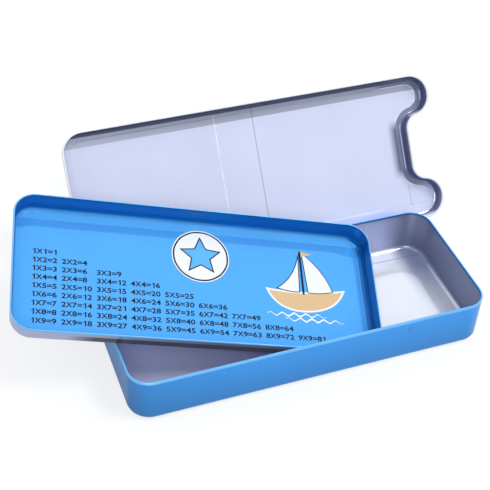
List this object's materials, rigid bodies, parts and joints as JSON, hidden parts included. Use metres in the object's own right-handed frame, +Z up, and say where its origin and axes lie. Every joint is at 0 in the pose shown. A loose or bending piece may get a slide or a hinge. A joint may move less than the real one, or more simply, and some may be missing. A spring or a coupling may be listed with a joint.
{
  "type": "metal pencil case",
  "caption": "Hinged tinplate pencil case with a lift-out inner tray, curled rims, wire hinges and an eared lid, shown open with the tray lying askew.",
  "frame": {"origin": "middle of the flat underside of the base, on the surface it rests on", "axes": "+X along the case towards the lid's eared end, +Y towards the hinges, +Z up"},
  "size_m": [0.2666, 0.1385, 0.0869],
  "materials": {
    "base_lacquer": "gloss",
    "lid_lacquer": "gloss",
    "tray_lacquer": "gloss",
    "wire_steel": "satin"
  },
  "bodies": {
    "base": {"base_tin": "base_lacquer", "hinge_wire_left": "wire_steel", "hinge_wire_right": "wire_steel"},
    "lid": {"lid": "lid_lacquer"},
    "tray": {"inner_tray": "tray_lacquer"}
  },
  "joints": [
    {"name": "lid_hinge", "type": "hinge", "parent": "base", "child": "lid", "pos_m": [0, 0.0413, 0.0205], "axis": [1, 0, 0], "range_deg": [0, 127]},
    {"name": "tray_lift", "type": "slide", "parent": "base", "child": "tray", "axis": [0, 0.1191, 0.9929], "range_m": [0, 0.382]}
  ],
  "couplings": [
    {"joint": "tray_lift", "follows": "lid_hinge", "m_per_rad": 0.17189}
  ]
}
